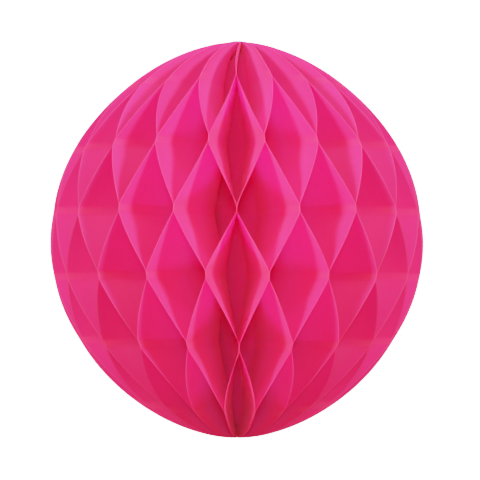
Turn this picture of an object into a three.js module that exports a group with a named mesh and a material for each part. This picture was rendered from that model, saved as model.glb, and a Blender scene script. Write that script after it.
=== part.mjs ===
// Honeycomb paper ball: thin paper leaves fanned round an upright spine, each glued to its two neighbours
// along staggered lines, so that they open into diamond cells. Millimetres, origin at the ball's centre,
// +Z up the spine, and the closing seam at the back, on +Y.
import * as THREE from "three";

// The ball's outline
const ballHeight = 200;
const ballWidth = 188.6;
const shoulderPower = 0.623; // outline above the equator: 0.5 is an ellipse, and more draws it in
const basePower = 0.599; // and below it
const tipWidth = 1.2; // end of a leaf at each pole

// The leaves and their glue lines
const leafCount = 40; // even, so that the two kinds of line alternate all the way round
const leafThickness = 0.15;
const glueFilm = 0.25; // clear space that glue fills between two pieces
const glueLineWidth = 3.8;
const gluePitch = 63.5; // between lines on one face of a leaf
const firstLineHeight = 13; // a line between the first leaf and its cover, above the centre
const panelSteps = 3; // facets along a leaf between two glue lines
const endSteps = 6; // facets from the last line to a pole

// The card covers, the tape that closes the seam and the bound spine
const coverThickness = 0.5;
const coverInset = 0.8; // how far a cover stays inside the leaves' outline
const tapeThickness = 0.3;
const tapeWidth = 12;
const tapeLength = 40;
const tapeHeight = 42; // centre of a strip above or below the equator
const tapeMargin = 5; // from a strip to the rim of the cover
const bindingChamfer = 0.6;
const bindingSides = 24;

// Places worked out from the sizes
const halfHeight = ballHeight / 2;
const secondLineHeight = firstLineHeight - gluePitch / 2; // lines on the other face lie halfway between
const leafAngle = (2 * Math.PI) / leafCount;
const leafPitch = leafThickness + glueFilm; // between glued leaves, centre to centre
const coverInnerFace = tapeThickness / 2 + glueFilm;
const coverOuterFace = coverInnerFace + coverThickness;
const seamSeat = coverOuterFace + glueFilm + leafThickness / 2; // from the seam to the leaf on a cover
const coreRadius = (2 * seamSeat + (leafCount - 1) * leafPitch) / (2 * Math.PI);
const tipRadius = coreRadius + tipWidth;
const bindingRadius = coreRadius - glueFilm;
const up = new THREE.Vector3(0, 0, 1);

const paper = new THREE.MeshStandardMaterial({ color: 0xe8357f, roughness: 0.9, metalness: 0 });
const card = new THREE.MeshStandardMaterial({ color: 0xe03a80, roughness: 0.8, metalness: 0 });
const tape = new THREE.MeshStandardMaterial({ color: 0xe9e4da, roughness: 0.6, metalness: 0 });
const thread = new THREE.MeshStandardMaterial({ color: 0xd8447f, roughness: 0.9, metalness: 0 });

// Distance from the spine to the rim at a height
function rimRadius(height, inset = 0) {
  const share = height / (halfHeight - inset);
  const power = height > 0 ? shoulderPower : basePower;
  const fullness = Math.pow(Math.max(0, 1 - share * share), power);
  return tipRadius + (ballWidth / 2 - inset - tipRadius) * fullness;
}

// Heights of the glue lines that repeat from one line, as far as the leaf reaches
function glueLines(lineHeight) {
  const reach = halfHeight - glueLineWidth;
  const lowest = Math.ceil((-reach - lineHeight) / gluePitch);
  const highest = Math.floor((reach - lineHeight) / gluePitch);
  return Array.from({ length: highest - lowest + 1 }, (_, i) => lineHeight + (lowest + i) * gluePitch);
}

// Edges of all the glue lines from the bottom up: side 0 meets the neighbour before, 1 the one after
const foldEdges = [
  ...glueLines(firstLineHeight).map((height) => ({ height, side: 0 })),
  ...glueLines(secondLineHeight).map((height) => ({ height, side: 1 })),
]
  .sort((a, b) => a.height - b.height)
  .flatMap(({ height, side }) => [
    { height: height - glueLineWidth / 2, side },
    { height: height + glueLineWidth / 2, side },
  ]);

// How far a leaf has crossed from one neighbour to the other at a height, straight between the lines
function foldSide(height) {
  const next = foldEdges.findIndex((edge) => edge.height >= height);
  if (next === -1) {
    return foldEdges.at(-1).side;
  }
  if (next === 0) {
    return foldEdges[0].side;
  }
  const below = foldEdges[next - 1];
  const above = foldEdges[next];
  const share = (height - below.height) / (above.height - below.height);
  return THREE.MathUtils.lerp(below.side, above.side, share);
}

// Heights of a leaf's facets: one across each glue line, and several between lines, closer towards a pole
function leafLevels() {
  const latitude = (height) => Math.asin(height / halfHeight);
  const stops = [-halfHeight, ...foldEdges.map((edge) => edge.height), halfHeight];
  const levels = [-halfHeight];
  stops.slice(1).forEach((stop, i) => {
    const panel = i === 0 || i === stops.length - 2 ? endSteps : panelSteps;
    const steps = i % 2 === 0 ? panel : 1;
    for (let step = 1; step <= steps; step++) {
      const angle = THREE.MathUtils.lerp(latitude(stops[i]), latitude(stop), step / steps);
      levels.push(halfHeight * Math.sin(angle));
    }
  });
  return levels;
}

// A point out along an azimuth and to one side of it
function polarPoint(radius, azimuth, sideways) {
  return new THREE.Vector3(radius, sideways, 0).applyAxisAngle(up, azimuth);
}

// Both faces of a strip share their diagonals, so that the paper keeps its thickness where it twists
function matchDiagonals(strip) {
  const backFace = strip.groups.at(-1);
  for (let i = backFace.start; i < backFace.start + backFace.count; i += 6) {
    const [a, b, d, , c] = strip.index.array.slice(i, i + 6);
    strip.index.array.set([a, b, c, a, c, d], i);
  }
}

// A leaf is a flat strip whose rows are laid along straight lines from the core out to the folded rim
function leafGeometry(index, levels) {
  const rows = levels.length - 1;
  const strip = new THREE.BoxGeometry(1, 1, 1, 1, rows, 1);
  const corners = strip.getAttribute("position");
  const seatBefore = index === 0 ? seamSeat : leafPitch / 2;
  const seatAfter = index === leafCount - 1 ? seamSeat : leafPitch / 2;
  const coreAzimuth = (seamSeat + index * leafPitch) / coreRadius - (index + 0.5) * leafAngle;
  const core = polarPoint(coreRadius, coreAzimuth, 0);
  for (let i = 0; i < corners.count; i++) {
    const height = levels[Math.round((corners.getY(i) + 0.5) * rows)];
    const crossed = index % 2 === 0 ? foldSide(height) : 1 - foldSide(height);
    const sideways = THREE.MathUtils.lerp(seatBefore, -seatAfter, crossed);
    const outward = polarPoint(ballWidth / 2, (crossed - 0.5) * leafAngle, sideways).sub(core);
    const across = outward.clone().cross(up).setLength(leafThickness);
    const reach = (rimRadius(height) - coreRadius) / (ballWidth / 2 - coreRadius);
    const point = core.clone().addScaledVector(outward, (corners.getX(i) + 0.5) * reach);
    point.addScaledVector(across, corners.getZ(i));
    corners.setXYZ(i, point.x, point.y, height);
  }
  matchDiagonals(strip);
  strip.computeVertexNormals();
  return strip;
}

// A cover is half of the outline cut from card
function coverGeometry(levels) {
  const reach = (halfHeight - coverInset) / halfHeight;
  const outline = new THREE.Shape();
  outline.moveTo(coreRadius, levels[0] * reach);
  levels.forEach((level) => outline.lineTo(rimRadius(level * reach, coverInset), level * reach));
  outline.lineTo(coreRadius, levels.at(-1) * reach);
  outline.closePath();
  return new THREE.ExtrudeGeometry(outline, { depth: coverThickness, bevelEnabled: false });
}

// The binding is a slim round core with its ends chamfered
function bindingGeometry() {
  const profile = [
    new THREE.Vector2(0, -halfHeight),
    new THREE.Vector2(bindingRadius - bindingChamfer, -halfHeight),
    new THREE.Vector2(bindingRadius, -halfHeight + bindingChamfer),
    new THREE.Vector2(bindingRadius, halfHeight - bindingChamfer),
    new THREE.Vector2(bindingRadius - bindingChamfer, halfHeight),
    new THREE.Vector2(0, halfHeight),
  ];
  return new THREE.LatheGeometry(profile, bindingSides);
}

function namedMesh(name, geometry, material) {
  const mesh = new THREE.Mesh(geometry, material);
  mesh.name = name;
  return mesh;
}

// The seam runs out along the ball's own X axis, and the whole ball is then turned to put it at the back
const ball = new THREE.Group();
const levels = leafLevels();

for (let index = 0; index < leafCount; index++) {
  const name = `leaf_${String(index + 1).padStart(2, "0")}`;
  const leaf = namedMesh(name, leafGeometry(index, levels), paper);
  leaf.rotation.z = (index + 0.5) * leafAngle;
  ball.add(leaf);
}

const coverLeft = namedMesh("cover_left", coverGeometry(levels), card);
coverLeft.rotation.x = Math.PI / 2;
coverLeft.position.y = coverOuterFace;
const coverRight = namedMesh("cover_right", coverGeometry(levels), card);
coverRight.rotation.x = Math.PI / 2;
coverRight.position.y = -coverInnerFace;
ball.add(coverLeft, coverRight);

const tapeRim = rimRadius(tapeHeight + tapeLength / 2, coverInset) - tapeMargin;
const tapePlaces = { tape_upper: tapeHeight, tape_lower: -tapeHeight };
Object.entries(tapePlaces).forEach(([name, height]) => {
  const strip = namedMesh(name, new THREE.BoxGeometry(tapeWidth, tapeThickness, tapeLength), tape);
  strip.position.set(tapeRim - tapeWidth / 2, 0, height);
  ball.add(strip);
});

const binding = namedMesh("spine_binding", bindingGeometry(), thread);
binding.rotation.x = Math.PI / 2;
ball.add(binding);

ball.rotation.z = Math.PI / 2;

export default ball;
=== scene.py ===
import math
import random

import bpy
from mathutils import Matrix, Vector, noise


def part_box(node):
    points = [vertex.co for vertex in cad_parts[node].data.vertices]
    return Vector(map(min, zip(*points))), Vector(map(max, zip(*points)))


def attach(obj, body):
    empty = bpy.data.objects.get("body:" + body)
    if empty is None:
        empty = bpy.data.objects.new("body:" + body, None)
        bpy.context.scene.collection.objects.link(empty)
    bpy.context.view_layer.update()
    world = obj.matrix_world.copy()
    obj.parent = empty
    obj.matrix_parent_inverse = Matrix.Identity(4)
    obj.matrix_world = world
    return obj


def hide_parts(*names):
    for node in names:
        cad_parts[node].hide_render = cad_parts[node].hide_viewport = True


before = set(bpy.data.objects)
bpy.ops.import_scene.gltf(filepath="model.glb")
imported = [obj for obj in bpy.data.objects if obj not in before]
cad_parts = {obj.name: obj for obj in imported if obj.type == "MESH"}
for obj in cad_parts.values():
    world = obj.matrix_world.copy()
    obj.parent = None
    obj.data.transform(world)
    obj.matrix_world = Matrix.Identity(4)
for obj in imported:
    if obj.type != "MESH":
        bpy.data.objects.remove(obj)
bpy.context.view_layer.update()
bpy.ops.object.select_all(action="DESELECT")

# The ball's outline and glue lines, as in the solids
ball = {
    "shoulderPower": 0.623,  # outline above the equator: 0.5 is an ellipse, and more draws it in
    "basePower": 0.599,  # and below it
    "ballRadius": 0.0943,
    "tipWidth": 0.0012,  # end of a leaf at each pole
    "glueLineWidth": 0.0038,
    "gluePitch": 0.0635,  # between lines on one face of a leaf
    "firstLineHeight": 0.013,  # a line between the first leaf and its cover
}
leafNodes = sorted(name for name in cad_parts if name.startswith("leaf_"))
leafCount = len(leafNodes)
leafAngle = 2 * math.pi / leafCount
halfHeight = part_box(leafNodes[0])[1].z
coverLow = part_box("cover_left")[0]
coreRadius = coverLow.y  # the covers reach in as far as the leaves do
coverFace = -coverLow.x  # from the seam to the outside of a cover
tipRadius = coreRadius + ball["tipWidth"]
print("frame:", leafCount, "leaves, core radius", round(coreRadius, 5),
      "half height", round(halfHeight, 4))


# The photograph's viewpoint
view = {
    "distance": 0.838,
    "azimuth": -0.5,  # degrees, to the left of the front
    "elevation": -1.71,
    "lens": 123.6,
    "sensorWidth": 36,
    "shift": (0.0065, -0.0008),
    "clipStart": 0.01,
}


# A place round the centre: azimuth in degrees to the right of the front, and elevation
def placeAround(distance, azimuth, elevation):
    turn = math.radians(azimuth)
    rise = math.radians(elevation)
    level = math.cos(rise)
    place = Vector((math.sin(turn) * level, -math.cos(turn) * level, math.sin(rise)))
    return place * distance


# How a camera or lamp at a place is turned to face the centre
def facingCentre(place):
    return (-place).to_track_quat("-Z", "Y").to_euler()


def makeCamera():
    place = placeAround(view["distance"], view["azimuth"], view["elevation"])
    bpy.ops.object.camera_add(location=place, rotation=facingCentre(place))
    camera = bpy.context.object
    camera.data.lens = view["lens"]
    camera.data.sensor_width = view["sensorWidth"]
    camera.data.shift_x, camera.data.shift_y = view["shift"]
    camera.data.clip_start = view["clipStart"]
    bpy.context.scene.camera = camera


makeCamera()
print("camera: placed")


# Distance from the spine to the rim at a height
def rimRadius(height):
    share = min(1, abs(height) / halfHeight)
    power = ball["shoulderPower"] if height > 0 else ball["basePower"]
    return tipRadius + (ball["ballRadius"] - tipRadius) * (1 - share * share) ** power


# Heights of the glue lines between two leaves: every other pair has its lines half a pitch lower
def glueLines(pair):
    pitch = ball["gluePitch"]
    start = ball["firstLineHeight"] - (pair % 2) * pitch / 2
    reach = halfHeight - ball["glueLineWidth"]
    lowest = math.ceil((-reach - start) / pitch)
    highest = math.floor((reach - start) / pitch)
    return [start + i * pitch for i in range(lowest, highest + 1)]


# Leaves as sheets of tissue
tissue = {
    "thickness": 0.0001,
    "glueGap": 0.00002,  # between two glued sheets
    "smoothAngle": 50,  # degrees between faces that are shaded as one
    "columns": 20,  # from the spine to the rim
    "curlColumns": (0.1, 0.7),  # the columns between these shares lie close together in the curl
    "curlMargin": 0.02,  # and this far beyond it
    "panelRows": 16,  # between two glue lines
    "endRows": 24,  # from the last line to a pole
    "lineRows": 4,  # across a glue line
    "foldRadius": 0.0007,
    "markFade": (1.2, 0.6),  # shares of half a glue line between which its pale mark sets in
    "markReach": (0.8, 1),  # shares of a leaf's width between which it does
    "lineDrift": 0.0005,  # how far a glue line strays in height
    "frontShifts": (  # how far the lines of even and odd pairs lie off at the front, lowest first
        (-0.0014, -0.0011, 0.002),
        (-0.004, 0, 0),
    ),
    "shiftPairs": 8,  # glued pairs over which that fades
    "frontSway": (0.0011, -0.001),  # how far the front leans sideways, low and high
    "swayFrom": (-0.085, 0.02),  # heights of the two
    "pairDrift": 0.0006,  # how far a glued pair strays sideways at the rim
    "driftLength": 0.045,
    "driftStep": 7.3,  # sets one pair's drift apart from the next
    "sheetWave": 0.0005,  # slack in a free panel
    "waveLength": 0.028,
    "waveReach": 0.09,  # a leaf's width, for the waves
    "waveStep": 3.7,  # sets one leaf's waves apart from the next
    "tipLean": 0.0018,  # how far the upper ends lean to the right at the front
    "leanFrom": 0.084,
    "tipLift": 0.0011,  # how far they rise to a point beside the spine
    "liftFrom": 0.094,
    "liftReach": 0.008,
    "tipPinch": 0.45,  # how far what rises above the spine closes over it
    "curlTurn": -1.0,  # how far the slack beside the spine curls a leaf round it, in radians
    "curlFrom": 0.15,  # where the curl lies across a leaf's width
    "curlTo": 0.38,
    "curlEnds": (0.097, 0.086),  # heights between which it fades towards a pole
    "seed": 11,
}


def clamp(value, low, high):
    return max(low, min(high, value))


# Goes smoothly from 0 at low to 1 at high
def eased(value, low, high):
    share = clamp((value - low) / (high - low), 0, 1)
    return share * share * (3 - 2 * share)


# Each glue line's own height, strayed a little, and shifted at the front
def strayedLines():
    chance = random.Random(tissue["seed"])
    lines = []
    for pair in range(leafCount + 1):
        onCover = pair % leafCount == 0
        drift = 0 if onCover else tissue["lineDrift"]
        front = max(0, 1 - abs(pair - leafCount / 2) / tissue["shiftPairs"])
        shifts = tissue["frontShifts"][pair % 2]
        heights = [height + chance.uniform(-drift, drift) for height in glueLines(pair)]
        lines.append([height + shift * front for height, shift in zip(heights, shifts)])
    return lines


# How far a glued pair has strayed sideways at a height, as an angle
def pairDrift(pair, height):
    if pair % leafCount == 0:
        return 0
    spot = Vector((height / tissue["driftLength"], pair * tissue["driftStep"], tissue["seed"]))
    drift = noise.noise(spot) * tissue["pairDrift"] / ball["ballRadius"]
    low, high = tissue["frontSway"]
    sway = low + (high - low) * eased(height, *tissue["swayFrom"])
    front = max(0, -math.cos(pair * leafAngle)) ** 2
    leastRadius = ball["ballRadius"] / 3  # closer to a pole the sway turns no further
    return drift + front * sway / max(rimRadius(height), leastRadius)


# Edges of one leaf's glue lines from the bottom up: side 0 meets the leaf before, 1 the leaf after
def leafFolds(index, lines):
    half = ball["glueLineWidth"] / 2
    folds = []
    for side in (0, 1):
        for height in lines[index + side]:
            folds.append((height - half, side))
            folds.append((height + half, side))
    return sorted(folds)


# How far a leaf has crossed from one neighbour to the other at a height
def straightCrossing(folds, height):
    if height <= folds[0][0]:
        return folds[0][1]
    for below, above in zip(folds, folds[1:]):
        if height <= above[0]:
            share = (height - below[0]) / (above[0] - below[0])
            return below[1] + (above[1] - below[1]) * share
    return folds[-1][1]


# The same crossing with its folds rounded
def roundedCrossing(folds, height):
    steps = (-1, -0.5, 0, 0.5, 1)
    spread = tissue["foldRadius"]
    return sum(straightCrossing(folds, height + step * spread) for step in steps) / len(steps)


# 1 on a glue line and 0 away from it
def glueMark(folds, height):
    half = ball["glueLineWidth"] / 2
    outside, inside = tissue["markFade"]
    tops = [fold[0] for fold in folds[1::2]]
    return max(eased(abs(height - top + half), half * outside, half * inside) for top in tops)


# Heights of a sheet's rows: closer together at the folds and towards the poles
def rowHeights(folds):
    stops = [-halfHeight, *[fold[0] for fold in folds], halfHeight]
    heights = [-halfHeight]
    for i, (low, high) in enumerate(zip(stops, stops[1:])):
        onLine = i % 2 == 1
        atEnd = i in (0, len(stops) - 2)
        rows = tissue["lineRows" if onLine else "endRows" if atEnd else "panelRows"]
        lowTurn = math.asin(clamp(low / halfHeight, -1, 1))
        highTurn = math.asin(clamp(high / halfHeight, -1, 1))
        for row in range(1, rows + 1):
            share = row / rows if onLine else (1 - math.cos(math.pi * row / rows)) / 2
            heights.append(halfHeight * math.sin(lowTurn + (highTurn - lowTurn) * share))
    return heights


# One flat sheet, ready to be copied for each leaf
def makeFlatSheet(rows):
    bpy.ops.object.select_all(action="DESELECT")
    bpy.ops.mesh.primitive_grid_add(x_subdivisions=tissue["columns"], y_subdivisions=rows, size=1)
    sheet = bpy.context.object
    sheet.name = "flatSheet"
    return sheet


# A point curled round the spine: fully at the front, and not at all at the seam
def curledPlace(place):
    rim = rimRadius(place.z)
    radius = math.hypot(place.x, place.y)
    towardsFront = (1 - place.x / radius) / 2
    turn = tissue["curlTurn"] * towardsFront
    turn *= eased(radius, tissue["curlTo"] * rim, tissue["curlFrom"] * rim)
    turn *= eased(abs(place.z), *tissue["curlEnds"])
    return Matrix.Rotation(turn, 3, "Z") @ place


# A point near the top pole, leaning at the front, raised beside the spine and closed over it
def tippedPlace(place):
    radius = math.hypot(place.x, place.y)
    front = max(0, -place.x / radius) ** 2
    lean = tissue["tipLean"] * front * eased(place.z, tissue["leanFrom"], halfHeight)
    lift = tissue["tipLift"] * eased(place.z, tissue["liftFrom"], halfHeight)
    lift *= eased(radius, tissue["liftReach"], coreRadius)
    out = Vector((place.x, place.y - lean, 0))
    out *= max(1, coreRadius / out.length)  # the spine stays clear
    tipTop = halfHeight + tissue["tipLift"]
    out *= 1 - tissue["tipPinch"] * eased(place.z + lift, halfHeight, tipTop)
    return out + Vector((0, 0, place.z + lift))


# Share of a leaf's width at a column: most columns lie in the curl
def columnShare(step):
    first, last = tissue["curlColumns"]
    low = tissue["curlFrom"] - tissue["curlMargin"]
    high = tissue["curlTo"] + tissue["curlMargin"]
    if step < first:
        return low * step / first
    if step < last:
        return low + (high - low) * (step - first) / (last - first)
    return high + (1 - high) * (step - last) / (1 - last)


# A leaf's straight edge on the spine
def leafCore(index):
    leafStep = (2 * math.pi * coreRadius - 2 * coverFace) / leafCount
    coreTurn = (coverFace + (index + 0.5) * leafStep) / coreRadius
    return Vector((math.cos(coreTurn), math.sin(coreTurn), 0)) * coreRadius


# Each row's height, way out from the spine to the folded rim, sideways direction and slack
def leafRows(index, folds):
    core = leafCore(index)
    seat = (tissue["thickness"] + tissue["glueGap"]) / 2
    seatBefore = coverFace + seat if index == 0 else seat
    seatAfter = coverFace + seat if index == leafCount - 1 else seat
    rows = []
    for height in rowHeights(folds):
        crossed = roundedCrossing(folds, height)
        before = index * leafAngle + pairDrift(index, height)
        after = (index + 1) * leafAngle + pairDrift(index + 1, height)
        turn = before + (after - before) * crossed
        out = Vector((math.cos(turn), math.sin(turn), 0))
        side = Vector((-math.sin(turn), math.cos(turn), 0))
        rim = out * ball["ballRadius"] + side * (seatBefore - (seatBefore + seatAfter) * crossed)
        reach = (rimRadius(height) - coreRadius) / (ball["ballRadius"] - coreRadius)
        slack = 4 * crossed * (1 - crossed)  # 1 halfway between two glue lines
        rows.append((height, (rim - core) * reach, side, slack))
    return rows


# Lays a flat sheet along straight lines from the spine out to the folded rim
def layLeaf(sheet, index, lines):
    folds = leafFolds(index, lines)
    core = leafCore(index)
    rows = leafRows(index, folds)
    waveLength = tissue["waveLength"]
    across = tissue["waveReach"]
    leafPlace = index * tissue["waveStep"]
    glue = sheet.data.attributes.new("glueMark", "FLOAT", "POINT")
    for corner in sheet.data.uv_layers.active.data:
        corner.uv.x = columnShare(corner.uv.x)
    for vertex in sheet.data.vertices:
        share = columnShare(vertex.co.x + 0.5)
        height, outward, side, slack = rows[round((vertex.co.y + 0.5) * (len(rows) - 1))]
        place = core + outward * share
        spot = Vector((share * across / waveLength, height / waveLength, leafPlace))
        place += side * noise.noise(spot) * tissue["sheetWave"] * share * slack
        place.z = height
        place = tippedPlace(curledPlace(place))
        vertex.co = (-place.y, place.x, place.z)  # the seam turns from +X to the back
        nearRim = eased(share, *tissue["markReach"])
        glue.data[vertex.index].value = glueMark(folds, height) * nearRim


# A leaf gets its paper's thickness and smooth shading
def finishLeaf(sheet):
    bpy.ops.object.select_all(action="DESELECT")
    sheet.select_set(True)
    bpy.context.view_layer.objects.active = sheet
    body = sheet.modifiers.new("paper", "SOLIDIFY")
    body.thickness = tissue["thickness"]
    body.offset = 0
    bpy.ops.object.modifier_apply(modifier="paper")
    bpy.ops.object.shade_smooth_by_angle(angle=math.radians(tissue["smoothAngle"]))


def makeLeaves(material):
    lines = strayedLines()
    rows = len(rowHeights(leafFolds(0, lines))) - 1
    flatSheet = makeFlatSheet(rows)
    for index, node in enumerate(leafNodes):
        sheet = flatSheet.copy()
        sheet.data = flatSheet.data.copy()
        sheet.name = f"leafSheet_{index + 1:02d}"
        bpy.context.collection.objects.link(sheet)
        layLeaf(sheet, index, lines)
        finishLeaf(sheet)
        sheet.data.materials.append(material)
        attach(sheet, "root")
        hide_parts(node)
    bpy.data.objects.remove(flatSheet)


# Dyed tissue: matt, thin enough to glow, cloudy with fine fibres, and paler on the glue lines near
# the rim. Its colour across a leaf's width is painted light and shade: palest halfway in, as
# painted light in the shaded cells, with painted shade towards the spine and the rim, and a painted
# highlight on the cut edge
tissueFinish = {
    # Across a leaf's width these are painted light and shade: the spine and outer colours are
    # painted shade, the inner colour painted light
    "spineColour": (0.972, 0.14, 0.76, 1),
    "innerColour": (0.957, 0.23, 0.83, 1),
    "outerColour": (0.99, 0.122, 0.66, 1),
    # Painted highlight on the cut edge, also used for the paler glue marks near the rim
    "edgeHighlightAndGlueColour": (0.998, 0.23, 0.66, 1),
    "colourPlaces": (0.3, 0.6, 0.95),  # shares of a leaf's width where the first three lie
    "edgeFrom": 0.991,
    "edgeTo": 0.998,
    "glueShare": 0.5,  # how pale a glue line's mark is
    "glowShare": 0.64,  # of the light that goes through a sheet
    "roughness": 0.7,
    "gloss": 0.3,
    "fuzz": 0.32,  # loose fibres that catch the light along the sheet
    "fuzzRoughness": 0.6,
    "cloudScale": 260,
    "cloudDetail": 3,
    "cloudColour": (1, 0.86, 0.92, 1),
    "fibreScale": 1500,
    "fibreDetail": 2,
    "fibreBump": 0.06,
    "fibreDepth": 0.0002,
}


def addNode(tree, kind, **values):
    node = tree.nodes.new(kind)
    for name, value in values.items():
        node.inputs[name].default_value = value
    return node


# A mix of two colours, each a socket or a value
def addMix(tree, blend, first, second, factor):
    mix = tree.nodes.new("ShaderNodeMix")
    mix.data_type = "RGBA"
    mix.blend_type = blend
    for socket, value in (("A", first), ("B", second), ("Factor", factor)):
        target = next(one for one in mix.inputs if one.name == socket and one.enabled)
        if isinstance(value, bpy.types.NodeSocket):
            tree.links.new(value, target)
        else:
            target.default_value = value
    return next(one for one in mix.outputs if one.enabled)


def makeTissue():
    material = bpy.data.materials.new("dyedTissueAndPaintedLight")
    material.use_nodes = True
    tree = material.node_tree
    link = tree.links.new
    shader = tree.nodes["Principled BSDF"]
    shader.inputs["Roughness"].default_value = tissueFinish["roughness"]
    shader.inputs["Specular IOR Level"].default_value = tissueFinish["gloss"]
    shader.inputs["Sheen Weight"].default_value = tissueFinish["fuzz"]
    shader.inputs["Sheen Roughness"].default_value = tissueFinish["fuzzRoughness"]

    width = tree.nodes.new("ShaderNodeUVMap")
    width.uv_map = "UVMap"
    split = tree.nodes.new("ShaderNodeSeparateXYZ")
    # Painted light and shade across the leaf's width from the spine to the rim, and the painted
    # highlight on its cut edge
    paintedDepthShade = tree.nodes.new("ShaderNodeValToRGB")
    stops = paintedDepthShade.color_ramp.elements
    spine, inner, outer = tissueFinish["colourPlaces"]
    stops[0].position, stops[0].color = spine, tissueFinish["spineColour"]
    stops[1].position, stops[1].color = tissueFinish["edgeTo"], tissueFinish["edgeHighlightAndGlueColour"]
    stops.new(inner).color = tissueFinish["innerColour"]
    stops.new(outer).color = tissueFinish["outerColour"]
    stops.new(tissueFinish["edgeFrom"]).color = tissueFinish["outerColour"]
    link(width.outputs["UV"], split.inputs["Vector"])
    link(split.outputs["X"], paintedDepthShade.inputs["Fac"])

    place = tree.nodes.new("ShaderNodeTexCoord")
    cloud = addNode(tree, "ShaderNodeTexNoise",
                    Scale=tissueFinish["cloudScale"], Detail=tissueFinish["cloudDetail"])
    link(place.outputs["Object"], cloud.inputs["Vector"])
    clouded = addMix(tree, "MULTIPLY", paintedDepthShade.outputs["Color"], tissueFinish["cloudColour"],
                     cloud.outputs["Fac"])
    glued = tree.nodes.new("ShaderNodeAttribute")
    glued.attribute_name = "glueMark"
    mark = tree.nodes.new("ShaderNodeMapRange")
    mark.inputs["To Max"].default_value = tissueFinish["glueShare"]
    link(glued.outputs["Fac"], mark.inputs["Value"])
    colour = addMix(tree, "MIX", clouded, tissueFinish["edgeHighlightAndGlueColour"], mark.outputs["Result"])

    fibres = addNode(tree, "ShaderNodeTexNoise",
                     Scale=tissueFinish["fibreScale"], Detail=tissueFinish["fibreDetail"])
    link(place.outputs["Object"], fibres.inputs["Vector"])
    relief = addNode(tree, "ShaderNodeBump",
                     Strength=tissueFinish["fibreBump"], Distance=tissueFinish["fibreDepth"])
    link(fibres.outputs["Fac"], relief.inputs["Height"])

    glow = tree.nodes.new("ShaderNodeBsdfTranslucent")
    link(colour, shader.inputs["Base Color"])
    link(colour, glow.inputs["Color"])
    link(relief.outputs["Normal"], shader.inputs["Normal"])
    mix = addNode(tree, "ShaderNodeMixShader", Fac=tissueFinish["glowShare"])
    link(shader.outputs["BSDF"], mix.inputs[1])
    link(glow.outputs["BSDF"], mix.inputs[2])
    link(mix.outputs["Shader"], tree.nodes["Material Output"].inputs["Surface"])
    return material


makeLeaves(makeTissue())
print("leaves: laid")


# The two covers: dyed card with short fibres, rubbed pale in places
cardFinish = {
    "nodes": ("cover_left", "cover_right"),
    "colour": (0.74, 0.035, 0.2, 1),
    "otherColour": (0.83, 0.09, 0.28, 1),
    "patchScale": 55,
    "patchDetail": 4,
    "grainScale": 900,
    "grainDetail": 4,
    "grainBump": 0.2,
    "grainDepth": 0.0001,
    "roughness": (0.62, 0.85),
}
# The double-sided tape in the seam: pale film, cloudy where the glue has taken
tapeFinish = {
    "nodes": ("tape_upper", "tape_lower"),
    "colour": (0.82, 0.78, 0.7, 1),
    "otherColour": (0.7, 0.63, 0.54, 1),
    "patchScale": 130,
    "patchDetail": 4,
    "grainScale": 500,
    "grainDetail": 4,
    "grainBump": 0.1,
    "grainDepth": 0.0001,
    "roughness": (0.3, 0.55),
}
# The spine: pink thread wound close and set in glue
threadFinish = {
    "nodes": ("spine_binding",),
    "colour": (0.66, 0.03, 0.16, 1),
    "otherColour": (0.8, 0.1, 0.3, 1),
    "patchScale": 300,
    "patchDetail": 4,
    "turnPitch": 0.0006,  # from one turn of the thread to the next
    "turnWander": 1.5,
    "grainDetail": 1,
    "grainBump": 0.6,
    "grainDepth": 0.0002,
    "roughness": (0.55, 0.8),
}


# Turns of thread where a finish has them, and otherwise a fine grain
def addGrain(tree, finish):
    detail = finish["grainDetail"]
    if "turnPitch" not in finish:
        return addNode(tree, "ShaderNodeTexNoise", Scale=finish["grainScale"], Detail=detail)
    unitPitch = math.pi / 10  # from one band to the next at a scale of 1
    turns = addNode(tree, "ShaderNodeTexWave", Scale=unitPitch / finish["turnPitch"],
                    Distortion=finish["turnWander"], Detail=detail)
    turns.bands_direction = "Z"
    return turns


def dressNodes(name, finish):
    material = bpy.data.materials.new(name)
    material.use_nodes = True
    tree = material.node_tree
    link = tree.links.new
    shader = tree.nodes["Principled BSDF"]
    place = tree.nodes.new("ShaderNodeTexCoord")
    patches = addNode(tree, "ShaderNodeTexNoise",
                      Scale=finish["patchScale"], Detail=finish["patchDetail"])
    grain = addGrain(tree, finish)
    dull = tree.nodes.new("ShaderNodeMapRange")
    dull.inputs["To Min"].default_value, dull.inputs["To Max"].default_value = finish["roughness"]
    relief = addNode(tree, "ShaderNodeBump",
                     Strength=finish["grainBump"], Distance=finish["grainDepth"])
    link(place.outputs["Object"], patches.inputs["Vector"])
    link(place.outputs["Object"], grain.inputs["Vector"])
    link(grain.outputs["Fac"], dull.inputs["Value"])
    link(grain.outputs["Fac"], relief.inputs["Height"])
    colour = addMix(tree, "MIX", finish["colour"], finish["otherColour"], patches.outputs["Fac"])
    link(colour, shader.inputs["Base Color"])
    link(dull.outputs["Result"], shader.inputs["Roughness"])
    link(relief.outputs["Normal"], shader.inputs["Normal"])
    for node in finish["nodes"]:
        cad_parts[node].material_slots[0].material = material


dressNodes("dyedCard", cardFinish)
dressNodes("seamTape", tapeFinish)
dressNodes("woundThread", threadFinish)
print("covers, tape and spine: dressed")


# A plain pale floor, well below the hanging ball
floor = {
    "height": -0.8,
    "radius": 0.8,
    "corners": 96,
    "colour": (0.7, 0.82, 0.97, 1),  # cool, so that it looks neutral in the warm light
    "roughness": 0.9,
}


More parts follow.
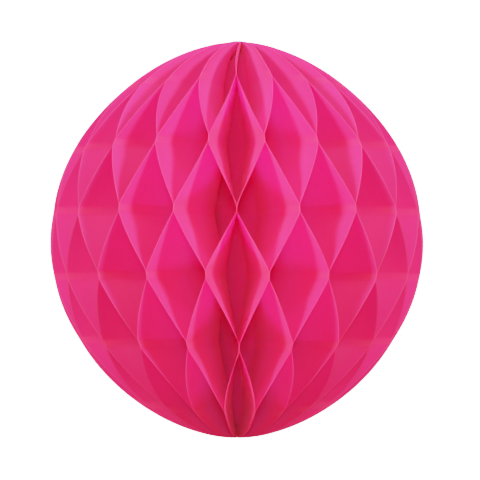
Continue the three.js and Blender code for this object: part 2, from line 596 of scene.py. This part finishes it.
def makeFloor():
    bpy.ops.object.select_all(action="DESELECT")
    bpy.ops.mesh.primitive_circle_add(vertices=floor["corners"], radius=floor["radius"],
                                      fill_type="NGON")
    ground = bpy.context.object
    ground.name = "floor"
    ground.location.z = floor["height"]
    ground.visible_diffuse = ground.visible_transmission = False  # it sends no light up at the ball
    material = bpy.data.materials.new("paleFloor")
    material.use_nodes = True
    shader = material.node_tree.nodes["Principled BSDF"]
    shader.inputs["Base Color"].default_value = floor["colour"]
    shader.inputs["Roughness"].default_value = floor["roughness"]
    ground.data.materials.append(material)


makeFloor()
print("floor: laid")


# Plain studio light: softboxes at the sides, the front and above, and a fill from all round
studio = {
    "distance": 1.2,
    "spread": 44,  # degrees of beam, so that the lamps leave the floor dim
    "lampColour": (1, 0.97, 0.8),
    "fillHigh": (0.55, 0.57, 0.46, 1),  # fill from straight above
    "fillLow": (0.78, 0.05, 0.1, 1),  # and from below: pink, as if it had passed through the ball
    "backdropColour": (1, 1, 1, 1),
    "backdrop": 3,  # how bright it is, and what is shown as white
    "contrast": 1.04,
    "rollOff": 0.935,  # the brightest that the roll-off comes near
    "rollPower": 2.5,  # how late it sets in
    "rollPoints": 15,
    "rollStep": 0.12,  # between two points of its curve
    "bounces": 64,
    "leafBounces": 48,  # off and through leaves, for the light deep in the cells
}
softboxes = {  # azimuth and elevation in degrees, width in metres, and power
    "lampLeft": (-42, 19, 0.25, 0.82),
    "lampRight": (42, 19, 0.25, 0.82),
    "lampFront": (-0.5, 4, 0.12, 0.17),
    "lampTop": (0, 62, 0.5, 0.06),
}


def makeLamp(name, azimuth, elevation, size, power):
    place = placeAround(studio["distance"], azimuth, elevation)
    bpy.ops.object.light_add(type="AREA", location=place, rotation=facingCentre(place))
    lamp = bpy.context.object
    lamp.name = name
    lamp.data.shape = "DISK"
    lamp.data.size = size
    lamp.data.energy = power
    lamp.data.color = studio["lampColour"]
    lamp.data.spread = math.radians(studio["spread"])


# The fill lights the ball, and the camera sees a plain backdrop in its place
def makeWorld():
    world = bpy.data.worlds.new("studio")
    bpy.context.scene.world = world
    world.use_nodes = True
    tree = world.node_tree
    link = tree.links.new
    fill = tree.nodes["Background"]
    direction = tree.nodes.new("ShaderNodeTexCoord")
    split = tree.nodes.new("ShaderNodeSeparateXYZ")
    rise = tree.nodes.new("ShaderNodeMapRange")
    rise.inputs["From Min"].default_value = -1  # straight down
    link(direction.outputs["Generated"], split.inputs["Vector"])
    link(split.outputs["Z"], rise.inputs["Value"])
    colour = addMix(tree, "MIX", studio["fillLow"], studio["fillHigh"], rise.outputs["Result"])
    link(colour, fill.inputs["Color"])
    backdrop = addNode(tree, "ShaderNodeBackground",
                       Color=studio["backdropColour"], Strength=studio["backdrop"])
    rays = tree.nodes.new("ShaderNodeLightPath")
    mix = tree.nodes.new("ShaderNodeMixShader")
    link(rays.outputs["Is Camera Ray"], mix.inputs["Fac"])
    link(fill.outputs["Background"], mix.inputs[1])
    link(backdrop.outputs["Background"], mix.inputs[2])
    link(mix.outputs["Shader"], tree.nodes["World Output"].inputs["Surface"])


# Highlights roll off as on film, so that the red doesn't clip
def setTone(scene):
    scene.view_settings.view_transform = "Standard"
    scene.view_settings.use_curve_mapping = True
    mapping = scene.view_settings.curve_mapping
    mapping.clip_max_x = studio["backdrop"]
    curve = mapping.curves[3]  # the one for all three colours
    curve.points[1].location = (studio["backdrop"], 1)
    for step in range(1, studio["rollPoints"] + 1):
        light = studio["rollStep"] * step
        shown = light ** studio["contrast"]
        rolled = 1 + (shown / studio["rollOff"]) ** studio["rollPower"]
        curve.points.new(light, shown / rolled ** (1 / studio["rollPower"]))
    mapping.update()


def setBounces(scene):
    scene.cycles.max_bounces = studio["bounces"]
    scene.cycles.diffuse_bounces = studio["leafBounces"]
    scene.cycles.transmission_bounces = studio["leafBounces"]


makeWorld()
for name, settings in softboxes.items():
    makeLamp(name, *settings)
setTone(bpy.context.scene)
setBounces(bpy.context.scene)
print("light: set")
